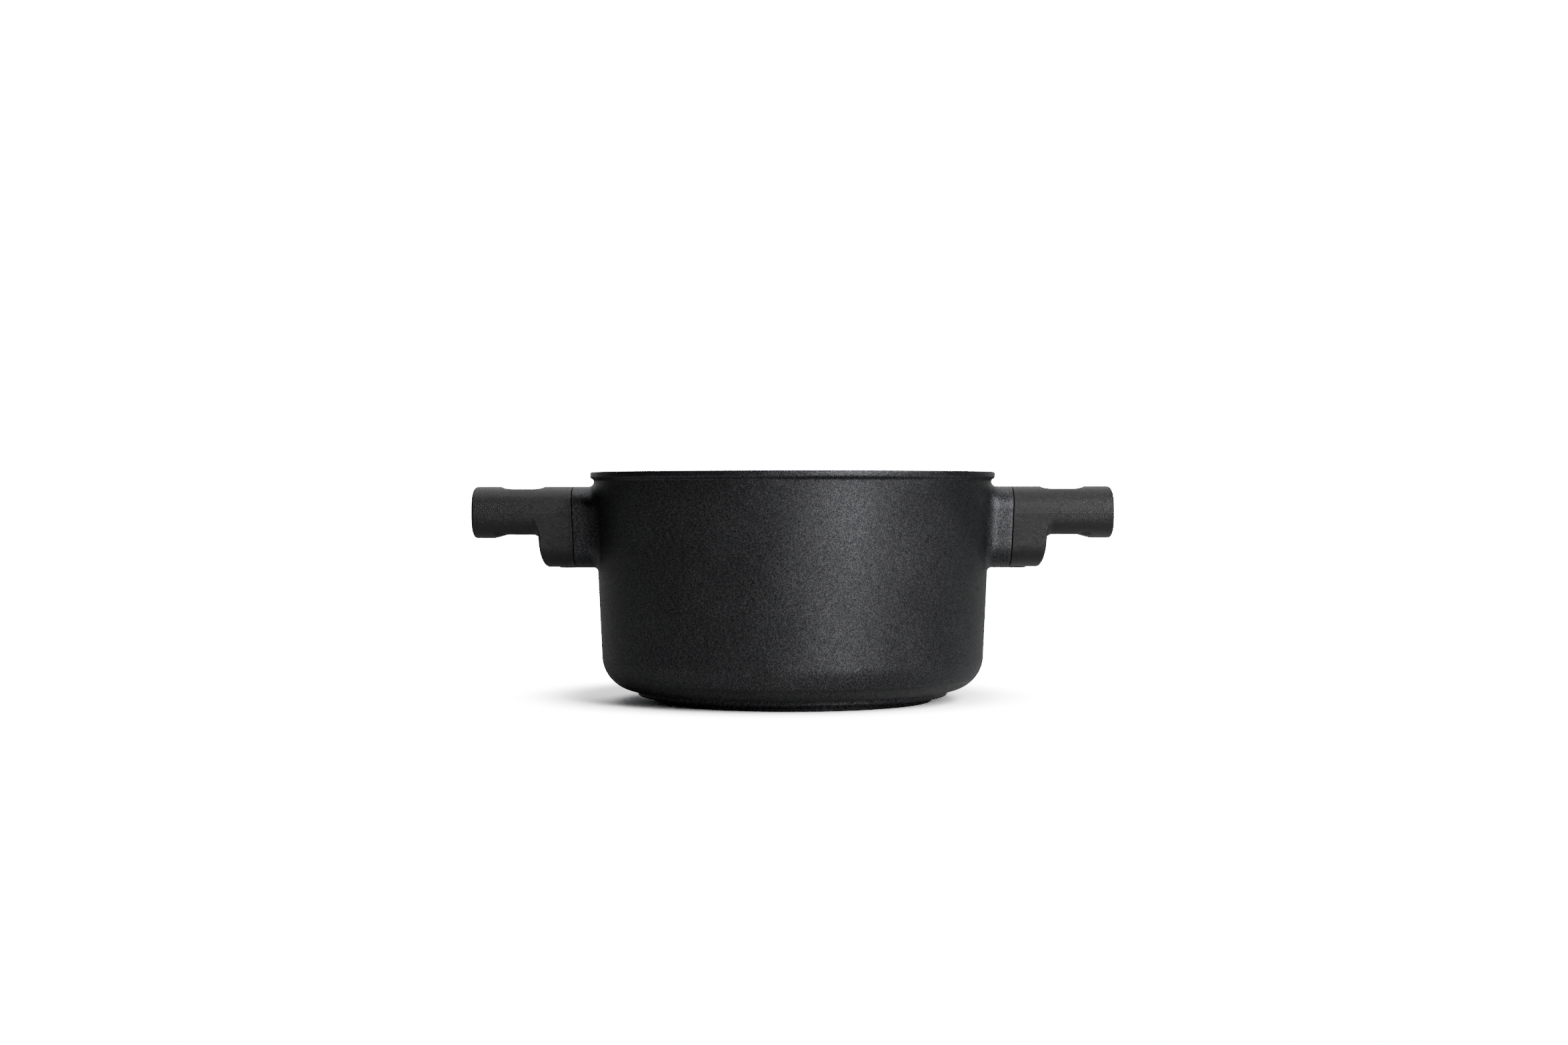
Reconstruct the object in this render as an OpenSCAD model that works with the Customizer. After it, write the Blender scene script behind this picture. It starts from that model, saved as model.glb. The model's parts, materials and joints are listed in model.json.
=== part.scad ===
// Two-handled cast aluminium casserole: a drafted round pot with a turned foot,
// a perforated steel plate in its base, and a moulded loop handle screwed to a
// cast lug on each side. Millimetres, +Z up, origin at the centre of the foot's
// resting face, handles along X.

/* [Pot] */
// Inside diameter at the rim
inner_d = 200; // [160:1:240]
// Height from the resting face to the top of the rim
pot_h = 120; // [100:1:150]
// Thickness of the cast wall
wall_t = 4.7; // [3.5:0.1:5.5]
// Outward slope of the wall from vertical, in degrees
wall_draft = 2.7; // [1:0.05:4]
// Radius of the outer bottom corner
corner_r = 18; // [14:1:24]
// Height of the inside floor above the resting face
floor_z = 11; // [9:0.5:14]
// Radius between the inside floor and the wall
floor_corner_r = 14; // [8:1:18]

/* [Rim] */
// How far the rim band stands out past the wall
rim_out = 1.6; // [1:0.1:3]
// Height of the rim band
rim_h = 3.7; // [2.5:0.1:6]
// Rounding of the rim's edges
rim_edge_r = 0.9; // [0.4:0.1:1.2]

/* [Foot] */
// Height of the foot disc
foot_h = 3.1; // [2:0.1:4]
// Height of the step above the foot disc
step_h = 2.8; // [1.5:0.1:4]
// Flat width between the bottom corner and the step
step_in = 0.8; // [0.5:0.1:4]
// Flat width between the step and the foot disc
foot_in = 8.3; // [5:0.1:14]

/* [Induction plate] */
// Width of the aluminium ring left around the plate
plate_border = 3; // [2:0.5:8]
// Thickness of the plate
plate_t = 1.5; // [0.8:0.1:2.5]
// Diameter of the plate's holes, which the casting fills
hole_d = 5; // [3:0.5:7]
// Distance between the rings of holes, and between holes on a ring
hole_pitch = 15; // [10:1:24]

/* [Lugs] */
// Distance from the top of the rim down to the top of the lugs
lug_drop = 7.5; // [6:0.1:16]
// Height of the lugs and of the handles' roots
lug_h = 42.3; // [32:0.1:48]
// Width of the lugs and handles
lug_w = 48.5; // [40:0.5:60]
// How far a lug stands out from the wall at its middle height
lug_out = 10.4; // [8:0.1:16]
// How far the lug's tenon runs past the axis of the handle's screw
tenon_past = 8; // [5:0.5:12]
// Width of lug left on each side of the tenon
tenon_side = 11.25; // [8:0.25:15]
// Height of lug left above the tenon
tenon_down = 10; // [6:0.5:12]
// Height of lug left below the tenon
tenon_up = 10; // [8:0.5:12]

/* [Handles] */
// Height of the grip
grip_h = 27.4; // [22:0.1:30]
// Height of the upright band along the middle of the grip's sides
side_flat = 1.5; // [0.5:0.1:6]
// How square the section is, from 2 for an ellipse upwards
squareness = 2.6; // [2:0.1:4]
// Thickness of handle between the tenon's socket and the finger hole
root_wall = 6; // [5:0.2:12]
// Length of the finger hole
finger_l = 20.2; // [16:0.2:30]
// Width of the arm on each side of the finger hole
arm_w = 12.25; // [9:0.25:16]
// Corner radius of the finger hole
finger_r = 4; // [2:0.5:8]
// Thickness of the end bar
bar_l = 14.4; // [10:0.2:20]
// How far the grip's underside is raised at the finger hole
finger_rise = 2.2; // [0.5:0.1:3]
// How far the raised part of the underside stops short of the end bar
rise_short = 2; // [0:0.5:5]
// Width left flat under the outer edge of the end bar
end_flat = 9.6; // [4:0.1:12]
// Radius of the root's outer face, seen from the side
chin_r = 58; // [34:1:80]
// Rounding of the handle's outer edges
edge_r = 1.3; // [0.5:0.1:3]

/* [Handle screws] */
// Thread diameter
screw_d = 4; // [3:0.5:5]
// Screw length under the head
screw_l = 16; // [14:1:18]
// Head diameter
head_d = 7; // [5.5:0.5:9]
// Head height
head_h = 2.6; // [2:0.1:3]
// How far the head sits inside the boss
head_sink = 0.2; // [0:0.1:1]
// Thickness of handle between the seam and the screw's counterbore
screw_wall = 0.7; // [0.5:0.1:3]
// Thickness of the split lock washer
washer_t = 0.9; // [0.6:0.1:1.4]
// Outer diameter of the threaded insert
insert_d = 6.5; // [5.5:0.5:8]
// Length of the threaded insert
insert_l = 8; // [6:0.5:10]
// Thickness of the moulded boss around the screw's counterbore
boss_wall = 1.2; // [0.8:0.1:2]
// How far the boss stands out below the handle
boss_h = 0.5; // [0.2:0.1:1]

/* [Clearances] */
// Gap between a lug's end face and its handle
seam_gap = 0.3; // [0.2:0.1:1]
// Gap round the sides, top and end of a tenon in its socket
socket_gap = 0.2; // [0.1:0.05:0.4]
// Gap round a screw head in its counterbore
head_gap = 0.3; // [0.2:0.1:0.6]
// Gap round a screw's shank in the handle
shank_gap = 0.25; // [0.1:0.05:0.5]
// Room in the tenon past the tip of the screw
tip_room = 2; // [1:0.5:3]

/* [Hidden] */

cast_colour = [0.13, 0.135, 0.145];
phenolic_colour = [0.07, 0.07, 0.075];
plate_colour = [0.60, 0.60, 0.61];
steel_colour = [0.74, 0.74, 0.75];

slope = tan(wall_draft);
top_inner_r = inner_d / 2;
top_outer_r = top_inner_r + wall_t;

// Outer radius of the wall at a height above the resting face
function wall_r(z) = top_outer_r - slope * (pot_h - z);
// Inner radius of the wall at the same height
function bore_r(z) = wall_r(z) - wall_t;

// The rim's roundings, as far as the band has room for them
rim_round = min(rim_edge_r, 0.56 * rim_out, 0.45 * rim_h);
neck_r = 0.85 * (rim_out - rim_round);

base_z = foot_h + step_h;
corner_angle = 90 + wall_draft;
corner_start_r = wall_r(base_z) - corner_r / tan(corner_angle / 2);
step_r = corner_start_r - step_in;
foot_r = step_r - foot_in;
plate_r = foot_r - plate_border;

lug_top = pot_h - lug_drop;
lug_foot = lug_top - lug_h;
lug_mid = lug_top - lug_h / 2;
tenon_w = lug_w - 2 * tenon_side;
tenon_h = lug_h - tenon_up - tenon_down;
socket_w = tenon_w + 2 * socket_gap;
seam_mid_x = wall_r(lug_mid) + lug_out;
// The seam leans out with the wall: its place along X at a height
function seam_x(z) = seam_mid_x + slope * (z - lug_mid);

counterbore_d = head_d + 2 * head_gap;
boss_d = counterbore_d + 2 * boss_wall;
screw_x = seam_x(lug_foot) + seam_gap + screw_wall + counterbore_d / 2;
tenon_foot = lug_foot + tenon_up;
tenon_end = screw_x + tenon_past;

round_h = grip_h - side_flat;
finger_w = lug_w - 2 * arm_w;
finger_x = tenon_end + socket_gap + root_wall;
bar_x = finger_x + finger_l;
end_x = bar_x + bar_l;
grip_foot = lug_top - grip_h;
rise_z = grip_foot + finger_rise;
// The root's outer face at a height: an arc that is upright just above the underside
chin_top = rise_z + 1.3;
function chin_x(z) = finger_x - chin_r + sqrt(chin_r * chin_r - (chin_top - z) * (chin_top - z));

boss_face = lug_foot - boss_h;
head_face = boss_face + head_sink;
head_seat = head_face + head_h;
washer_seat = head_seat + washer_t;

arc_steps = 8;
section_steps = 24;
chin_steps = 6;
finger_overrun = 5;

// ---- outlines -------------------------------------------------------------

function unit(v) = v / norm(v);

// Points of the arc of radius r that rounds the corner at b, between a and c
function round_corner(a, b, c, r) =
    let (
        u = unit(a - b),
        v = unit(c - b),
        half = acos(u * v) / 2,
        centre = b + unit(u + v) * r / sin(half),
        from = b + u * r / tan(half) - centre,
        to = b + v * r / tan(half) - centre,
        start = atan2(from.y, from.x),
        turn = (atan2(to.y, to.x) - start + 540) % 360 - 180
    )
    [for (i = [0:arc_steps])
        let (angle = start + turn * i / arc_steps)
        centre + r * [cos(angle), sin(angle)]];

// A closed outline from corners [x, y, radius]; radius 0 leaves a sharp corner
function rounded(corners) =
    let (count = len(corners))
    [for (i = [0:count - 1])
        let (
            before = corners[(i + count - 1) % count],
            here = corners[i],
            after = corners[(i + 1) % count]
        )
        each here.z > 0
            ? round_corner([before.x, before.y], [here.x, here.y], [after.x, after.y], here.z)
            : [[here.x, here.y]]];

// Half of the handle's section: a superellipse arc, moved up or down by shift
function half_section(width, shift, start) =
    [for (i = [0:section_steps])
        let (
            a = start + 180 * i / section_steps,
            c = cos(a),
            s = sin(a),
            power = 2 / squareness
        )
        [width / 2 * sign(c) * pow(abs(c), power),
         round_h / 2 * sign(s) * pow(abs(s), power) + shift]];

// The section of a lug or handle between two heights, seen along X
function section(width, low, high) =
    concat(half_section(width, high - round_h / 2, 0), half_section(width, low + round_h / 2, 180));

pot_outline = rounded([
    [0, 0, 0],
    [foot_r, 0, 0.5],
    [foot_r, foot_h, 0.3],
    [step_r, foot_h, 0.5],
    [step_r, base_z, 0.3],
    [wall_r(base_z), base_z, corner_r],
    [wall_r(pot_h - rim_h), pot_h - rim_h, neck_r],
    [top_outer_r + rim_out, pot_h - rim_h, rim_round],
    [top_outer_r + rim_out, pot_h, rim_round],
    [bore_r(pot_h), pot_h, rim_round],
    [bore_r(floor_z), floor_z, floor_corner_r],
    [0, floor_z, 0],
]);

// The handle seen from the side, as [x, z]
handle_outline = rounded([
    [seam_x(lug_top) + seam_gap, lug_top, 0],
    [end_x, lug_top, edge_r],
    [end_x, grip_foot, edge_r],
    [end_x - end_flat, grip_foot, 3],
    [bar_x - rise_short, rise_z, 3],
    [chin_x(rise_z), rise_z, 2.5],
    each [for (i = [0:chin_steps])
        let (z = rise_z - 3.5 - (rise_z - 5 - lug_foot) * i / chin_steps)
        [chin_x(z), z, 0]],
    [chin_x(lug_foot), lug_foot, 1],
    [seam_x(lug_foot) + seam_gap, lug_foot, 0],
]);

// ---- building blocks ------------------------------------------------------

module along_x(from, to) {
    translate([from, 0, 0]) rotate([90, 0, 90]) linear_extrude(to - from) children();
}

module along_y(width) {
    rotate([90, 0, 0]) linear_extrude(width, center = true) children();
}

// Everything on the pot's side of the leaning seam, for the lug's end face
module inside_seam() {
    along_y(2 * lug_w) polygon([
        [0, lug_foot - lug_h], [seam_x(lug_foot - lug_h), lug_foot - lug_h],
        [seam_x(lug_top + lug_h), lug_top + lug_h], [0, lug_top + lug_h],
    ]);
}

module lug() {
    difference() {
        intersection() {
            along_x(top_outer_r / 2, seam_x(pot_h)) polygon(section(lug_w, boss_face, lug_top));
            inside_seam();
        }
        // Ends halfway through the wall, clear of the bore
        cylinder(h = pot_h, r1 = wall_r(0) - wall_t / 2, r2 = wall_r(pot_h) - wall_t / 2, $fn = 180);
    }
}

module tenon() {
    translate([seam_mid_x - lug_out / 2, -tenon_w / 2, tenon_foot])
        cube([tenon_end - seam_mid_x + lug_out / 2, tenon_w, tenon_h]);
}

// The hole in the tenon for the insert and the tip of the screw
module tenon_hole() {
    translate([screw_x, 0, tenon_foot - 1]) {
        cylinder(h = insert_l + 1, d = insert_d, $fn = 48);
        cylinder(h = head_seat + screw_l + tip_room - tenon_foot + 1, d = screw_d + 2 * shank_gap, $fn = 48);
    }
}

module plate_shape() {
    rings = floor((plate_r - hole_d) / hole_pitch);
    difference() {
        cylinder(h = plate_t, r = plate_r, $fn = 180);
        for (ring = [1:rings]) {
            holes = floor(2 * PI * ring);
            for (i = [0:holes - 1])
                rotate(360 * i / holes)
                    translate([ring * hole_pitch, 0, -1])
                        cylinder(h = plate_t + 2, d = hole_d, $fn = 32);
        }
    }
}

module handle_shape() {
    difference() {
        union() {
            intersection() {
                along_y(2 * lug_w) polygon(handle_outline);
                union() {
                    along_x(seam_mid_x - lug_out, finger_x)
                        polygon(section(lug_w, lug_foot, lug_top));
                    along_x(seam_mid_x - lug_out, end_x + 1)
                        polygon(section(lug_w, grip_foot, lug_top));
                }
                // Rounds the end bar's corners in plan
                translate([0, 0, boss_face - 1]) linear_extrude(lug_h + 4) polygon(rounded([
                    [seam_mid_x - lug_out, -lug_w / 2, 0], [end_x, -lug_w / 2, edge_r],
                    [end_x, lug_w / 2, edge_r], [seam_mid_x - lug_out, lug_w / 2, 0],
                ]));
            }
            difference() {
                translate([screw_x, 0, boss_face]) cylinder(h = tenon_up / 2, d = boss_d, $fn = 64);
                translate([seam_gap, 0, 0]) inside_seam();
            }
        }
        // Finger hole
        translate([0, 0, lug_foot - finger_overrun]) linear_extrude(lug_h + 2 * finger_overrun)
            polygon(rounded([
                [finger_x, -finger_w / 2, finger_r], [bar_x, -finger_w / 2, finger_r],
                [bar_x, finger_w / 2, finger_r], [finger_x, finger_w / 2, finger_r],
            ]));
        // Socket: its floor is drawn up against the tenon's underside
        translate([seam_mid_x - lug_out, -socket_w / 2, tenon_foot])
            cube([tenon_end + socket_gap - seam_mid_x + lug_out, socket_w, tenon_h + socket_gap]);
        translate([screw_x, 0, boss_face - 1]) {
            cylinder(h = washer_seat - boss_face + 1, d = counterbore_d, $fn = 64);
            cylinder(h = tenon_foot - boss_face + 2, d = screw_d + 2 * shank_gap, $fn = 48);
        }
    }
}

module screw_shape() {
    recess_w = head_d * 0.16;
    recess_l = head_d * 0.6;
    recess_deep = head_h * 0.55;
    translate([screw_x, 0, head_face]) difference() {
        union() {
            cylinder(h = head_h, d = head_d, $fn = 64);
            cylinder(h = head_h + screw_l, d = screw_d, $fn = 48);
        }
        for (turn = [45, 135])
            rotate(turn) translate([-recess_l / 2, -recess_w / 2, -1])
                cube([recess_l, recess_w, recess_deep + 1]);
    }
}

module lock_washer_shape() {
    split_w = 0.9;
    translate([screw_x, 0, head_seat]) difference() {
        cylinder(h = washer_t, d = head_d, $fn = 64);
        translate([0, 0, -1]) cylinder(h = washer_t + 2, d = screw_d + shank_gap, $fn = 48);
        rotate(25) translate([0, -split_w / 2, -1]) cube([head_d, split_w, washer_t + 2]);
    }
}

module insert_shape() {
    translate([screw_x, 0, tenon_foot]) difference() {
        cylinder(h = insert_l, d = insert_d, $fn = 48);
        translate([0, 0, -1]) cylinder(h = insert_l + 2, d = screw_d, $fn = 48);
    }
}

// Left-hand pieces are the right-hand ones reflected across the pot
module left() {
    mirror([1, 0, 0]) children();
}

// ---- pieces ---------------------------------------------------------------

module pot_body() {
    color(cast_colour) difference() {
        union() {
            rotate_extrude($fn = 180) polygon(pot_outline);
            lug();
            tenon();
            left() lug();
            left() tenon();
        }
        tenon_hole();
        left() tenon_hole();
        plate_shape();
    }
}

module induction_plate() { color(plate_colour) plate_shape(); }
module right_handle() { color(phenolic_colour) handle_shape(); }
module left_handle() { color(phenolic_colour) left() handle_shape(); }
module right_screw() { color(steel_colour) screw_shape(); }
module left_screw() { color(steel_colour) left() screw_shape(); }
module right_lock_washer() { color(steel_colour) lock_washer_shape(); }
module left_lock_washer() { color(steel_colour) left() lock_washer_shape(); }
module right_thread_insert() { color(steel_colour) insert_shape(); }
module left_thread_insert() { color(steel_colour) left() insert_shape(); }

pot_body();
induction_plate();
right_handle();
left_handle();
right_screw();
left_screw();
right_lock_washer();
left_lock_washer();
right_thread_insert();
left_thread_insert();
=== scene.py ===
"""The finished look of a two-handled cast casserole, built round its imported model."""

import json
import math

import bmesh
import bpy
import numpy as np
from bpy.props import FloatProperty, FloatVectorProperty, IntProperty, PointerProperty
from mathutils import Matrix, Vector

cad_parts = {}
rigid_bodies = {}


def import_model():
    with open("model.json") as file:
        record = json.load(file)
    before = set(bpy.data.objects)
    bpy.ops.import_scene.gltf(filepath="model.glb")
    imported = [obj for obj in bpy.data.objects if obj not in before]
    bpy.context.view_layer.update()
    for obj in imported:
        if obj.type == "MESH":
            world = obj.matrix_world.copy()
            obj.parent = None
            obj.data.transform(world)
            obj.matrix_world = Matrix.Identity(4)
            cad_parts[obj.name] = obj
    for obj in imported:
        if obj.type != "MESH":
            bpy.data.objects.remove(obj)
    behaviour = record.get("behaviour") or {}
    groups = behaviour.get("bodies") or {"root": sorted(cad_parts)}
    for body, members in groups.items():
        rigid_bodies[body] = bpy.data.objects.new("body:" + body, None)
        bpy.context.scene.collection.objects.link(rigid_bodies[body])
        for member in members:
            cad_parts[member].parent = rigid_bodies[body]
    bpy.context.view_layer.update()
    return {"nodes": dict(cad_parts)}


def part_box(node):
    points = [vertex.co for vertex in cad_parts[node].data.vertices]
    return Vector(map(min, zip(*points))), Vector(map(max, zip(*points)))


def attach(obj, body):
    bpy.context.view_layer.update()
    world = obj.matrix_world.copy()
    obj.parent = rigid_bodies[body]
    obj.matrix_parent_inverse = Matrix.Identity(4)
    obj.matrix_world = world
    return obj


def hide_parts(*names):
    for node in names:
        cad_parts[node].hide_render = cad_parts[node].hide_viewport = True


bl_info = {
    "name": "Cast casserole",
    "version": (1, 0, 0),
    "blender": (4, 5, 0),
    "location": "3D View > Sidebar > Casserole",
    "description": "Builds the finished casserole round its packed model",
    "category": "Object",
}

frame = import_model()
POT_LOW, POT_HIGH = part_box("pot_body")
HANDLE_LOW, HANDLE_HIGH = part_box("right_handle")
PLATE_LOW, PLATE_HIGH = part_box("induction_plate")
SCREW_LOW, SCREW_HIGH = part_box("right_screw")
MM = 0.001


# ---- sizes and colours that a user would change -----------------------------


def length(name, description, default, **limits):
    """A length in metres, shown in the scene's units."""
    return FloatProperty(
        name=name, description=description, default=default, unit="LENGTH", precision=5, min=0.0, **limits
    )


def colour(name, description, default):
    """A colour without alpha."""
    return FloatVectorProperty(
        name=name, description=description, default=default, subtype="COLOR", size=3, min=0.0, max=1.0
    )


class CASSEROLE_PG_pot(bpy.types.PropertyGroup):
    """Sizes of the cast pot."""

    rim_radius: length("Rim radius", "Outside radius of the rim band", POT_HIGH.y)
    height: length("Height", "Height of the rim above the resting face", POT_HIGH.z)
    wall: length("Wall", "Thickness of the cast wall", 4.7 * MM)
    draft: FloatProperty(
        name="Draft", description="Outward slope of the wall", default=math.radians(2.7), subtype="ANGLE"
    )
    rim_out: length("Rim overhang", "How far the rim band stands out past the wall", 1.6 * MM)
    rim_band: length("Rim band", "Height of the rim band", 3.7 * MM)
    rim_lean: length("Rim lean", "How much higher the rim band's underside is at its edge", 1.1 * MM)
    rim_round: length("Rim rounding", "Rounding of the rim's upper edges", 0.88 * MM)
    neck_round: length("Neck fillet", "Fillet under the rim band, and rounding of its lower edge", 1.2 * MM)
    corner: length("Bottom corner", "Radius of the outer bottom corner", 18 * MM)
    floor_height: length("Floor height", "Height of the inside floor", 11 * MM)
    floor_corner: length("Floor corner", "Radius between the inside floor and the wall", 14 * MM)
    foot_height: length("Foot height", "Height of the foot disc", 3.1 * MM)
    step_height: length("Step height", "Height of the step above the foot disc", 2.8 * MM)
    step_in: length("Step inset", "Flat width between the corner and the step", 0.8 * MM)
    foot_in: length("Foot inset", "Flat width between the step and the foot disc", 8.3 * MM)
    step_round: length("Step rounding", "Rounding of the step's lower edge", 1.2 * MM)
    turned_edge: length("Turned edge", "Rounding of the foot's edges", 0.4 * MM)
    hole_radius: length("Stud radius", "Radius of the studs that fill the base plate", 2.5 * MM)
    hole_pitch: length("Stud pitch", "Distance between the rings of studs", 15 * MM)
    segments: IntProperty(name="Segments", description="Faces round the pot", default=360, min=64, max=720)


class CASSEROLE_PG_lug(bpy.types.PropertyGroup):
    """Sizes of the cast lugs and their tenons."""

    top: length("Top", "Height of the lug's top", HANDLE_HIGH.z)
    height: length("Height", "Height of the handle's root", 42.3 * MM)
    width: length("Width", "Width of the lug and the handle", HANDLE_HIGH.y - HANDLE_LOW.y)
    below: length("Lower edge", "How far the lug reaches below the handle's root", 0.5 * MM)
    out: length("Reach", "How far the lug stands out from the wall at its middle", 10.4 * MM)
    side_fillet: length("Side fillet", "Cast fillet at the lug's sides", 6 * MM)
    top_fillet: length("Top fillet", "Cast fillet above the lug", 3.0 * MM)
    foot_fillet: length("Foot fillet", "Cast fillet below the lug", 2 * MM)
    edge: length("Edge", "Rounding of the lug's outer edge", 0.3 * MM)
    tenon_width: length("Tenon width", "Width of the tenon", 26 * MM)
    tenon_height: length("Tenon height", "Height of the tenon", 22.3 * MM)
    tenon_up: length("Tenon place", "Height of the tenon above the lug's foot", 10 * MM)


class CASSEROLE_PG_handle(bpy.types.PropertyGroup):
    """Sizes of the moulded handles."""

    grip_height: length("Grip height", "Height of the grip", 27.4 * MM)
    side_flat: length("Side flat", "Upright band along the middle of the sides", 1.5 * MM)
    squareness: FloatProperty(
        name="Squareness", description="How square the section is; 2 is an ellipse", default=2.6,
        min=2.0, max=5.0
    )
    hole_start: length("Hole start", "Distance from the seam's middle to the finger hole", 18 * MM)
    hole_length: length("Hole length", "Length of the finger hole", 20.2 * MM)
    hole_width: length("Hole width", "Width of the finger hole", 24 * MM)
    hole_corner: length("Hole corner", "Corner radius of the finger hole", 4 * MM)
    hole_top_edge: length("Upper easing", "Rounding of the finger hole's upper edge", 2.2 * MM)
    hole_foot_edge: length("Lower easing", "Rounding of the finger hole's lower edge", 2.6 * MM)
    finger_rise: length("Finger rise", "How far the grip's underside is raised at the hole", 2.2 * MM)
    end_flat: length("End flat", "Width left flat under the end bar's outer edge", 9.6 * MM)
    rise_end: length("Rise end", "How far the raised underside stops short of the end bar", 2 * MM)
    chin_curve: length("Chin curve", "Radius of the chin's outer face, seen from the side", 58 * MM)
    chin_top: length("Chin top", "How far above the grip's underside the chin is upright", 1.3 * MM)
    chin_round: length("Chin rounding", "Rounding of the chin's edges", 1.2 * MM)
    inner_fillet: length("Inner fillet", "Fillet between the grip's underside and the chin", 3.6 * MM)
    relief_depth: length("Relief depth", "Depth of the thumb reliefs low on the grip's sides", 0.8 * MM)
    edge: length("Edge", "Rounding of the end face's edge", 1.3 * MM)
    seam_edge: length("Seam edge", "Rounding of the edge at the seam", 0.3 * MM)
    seam_gap: length("Seam gap", "Gap between lug and handle", 0.3 * MM)
    socket_gap: length("Socket gap", "Gap round the tenon in its socket", 0.2 * MM)
    boss_radius: length("Boss radius", "Radius of the boss round the screw", 5 * MM)
    counterbore: length("Counterbore", "Radius of the counterbore for the screw's head", 3.8 * MM)
    counterbore_depth: length("Counterbore depth", "Depth of the counterbore", 3.7 * MM)
    shank_hole: length("Shank hole", "Radius of the hole for the screw's shank", 2.25 * MM)
    grain: length("Mesh size", "Length of the mesh's edges", 0.45 * MM)


class CASSEROLE_PG_finish(bpy.types.PropertyGroup):
    """Colours and textures of the finishes."""

    coating: colour("Coating", "Colour of the outside coating", (0.020, 0.0205, 0.0225))
    fleck: colour("Flake", "Colour of the outside coating's brightest flakes", (0.165, 0.168, 0.175))
    lining_fleck: colour(
        "Lining flake", "Colour of the inside coating's brightest flakes", (0.11, 0.11, 0.113)
    )
    lining: colour("Lining", "Colour of the inside coating", (0.020, 0.020, 0.021))
    phenolic: colour("Phenolic", "Colour of the moulded handles", (0.006, 0.006, 0.0066))
    bare_alloy: colour("Bare alloy", "Colour of the turned aluminium", (0.62, 0.62, 0.63))
    plate_steel: colour("Plate steel", "Colour of the base plate", (0.50, 0.50, 0.51))
    screw_steel: colour("Screw steel", "Colour of the fasteners", (0.62, 0.62, 0.64))
    cast_grain: length("Cast grain", "Size of the flakes in the coating", 0.21 * MM)
    mould_draft: FloatProperty(
        name="Mould draft", description="Slope away from the parting line", default=0.075
    )
    mould_grain: length("Mould grain", "Size of the grain in the handles", 0.3 * MM)
    turning_pitch: length("Turning pitch", "Distance between the tool marks on turned faces", 0.35 * MM)


class CASSEROLE_PG_stage(bpy.types.PropertyGroup):
    """Camera, floor and lights."""

    camera_distance: length("Camera distance", "Distance of the camera in front of the pot's axis", 1.2728)
    camera_height: length("Camera height", "Height of the camera above the floor", 0.1079)
    camera_dip: FloatProperty(
        name="Dip", description="How far the camera looks down", default=math.radians(0.65), subtype="ANGLE"
    )
    camera_turn: FloatProperty(
        name="Turn", description="How far the camera looks left", default=math.radians(0.2015),
        subtype="ANGLE"
    )
    camera_roll: FloatProperty(
        name="Roll", description="How far the camera leans clockwise", default=math.radians(0.05),
        subtype="ANGLE"
    )
    lens: FloatProperty(name="Lens", description="Focal length", default=55.47, unit="CAMERA")
    floor_colour: colour("Floor", "Colour of the floor", (0.52, 0.52, 0.52))
    floor_gain: FloatProperty(
        name="Floor gain", description="Floor brightness seen by the camera", default=5.0
    )
    white_level: FloatProperty(
        name="White level", description="Brightness of the white surround", default=18.0
    )
    back_level: FloatProperty(name="Back level", description="Light from the backdrop", default=0.05)
    edge_level: FloatProperty(name="Edge level", description="Light from straight behind", default=1.0)
    fill_level: FloatProperty(name="Fill level", description="Light from all other sides", default=0.0)
    key_power: FloatProperty(
        name="Key power", description="Power of the tall soft light", default=11.5, unit="POWER"
    )
    top_power: FloatProperty(
        name="Top power", description="Power of the overhead light", default=6.2, unit="POWER"
    )
    side_power: FloatProperty(
        name="Side power", description="Power of the light on the right", default=5.2, unit="POWER"
    )


# ---- modelling helpers --------------------------------------------------------


def deselect():
    """Leaves nothing selected, whatever was selected before."""
    for item in bpy.context.view_layer.objects:
        item.select_set(False)


def take(piece):
    """Makes a piece the only selected object and the active one."""
    deselect()
    piece.select_set(True)
    bpy.context.view_layer.objects.active = piece


def added(name):
    """Names the primitive that was just added and moves its place into its mesh."""
    piece = bpy.context.active_object
    piece.name = piece.data.name = name
    bpy.ops.object.transform_apply(location=True, rotation=True, scale=True)
    return piece


def editing(piece, mode):
    """Opens a piece in edit mode with vertices, edges or faces as its selection mode."""
    take(piece)
    bpy.ops.object.mode_set(mode="EDIT")
    bpy.ops.mesh.select_mode(type=mode)


def done_editing():
    bpy.ops.object.mode_set(mode="OBJECT")


def pick_faces(test):
    """Selects the faces whose centre and normal pass a test."""
    mesh = bmesh.from_edit_mesh(bpy.context.edit_object.data)
    bpy.ops.mesh.select_all(action="DESELECT")
    for face in mesh.faces:
        face.select_set(test(face.calc_center_median(), face.normal))
    bmesh.update_edit_mesh(bpy.context.edit_object.data)


def pick_ring(height, radius, near=0.02 * MM):
    """Selects the edges that run round the axis at a height and radius."""
    mesh = bmesh.from_edit_mesh(bpy.context.edit_object.data)
    bpy.ops.mesh.select_all(action="DESELECT")
    for edge in mesh.edges:
        edge.select_set(
            all(abs(v.co.z - height) < near and abs(math.hypot(v.co.x, v.co.y) - radius) < near
            for v in edge.verts)
        )
    bmesh.update_edit_mesh(bpy.context.edit_object.data)


def bevel(amount, segments):
    bpy.ops.mesh.bevel(offset=amount, offset_type="OFFSET", segments=segments, profile=0.5, affect="EDGES")


def extrude(x=0.0, y=0.0, z=0.0):
    bpy.ops.mesh.extrude_region_move(TRANSFORM_OT_translate={"value": (x, y, z)})


def spread(factor):
    """Scales the selection about the pot's axis, level by level."""
    bpy.ops.transform.resize(value=(factor, factor, 1.0), center_override=(0.0, 0.0, 0.0))


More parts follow.
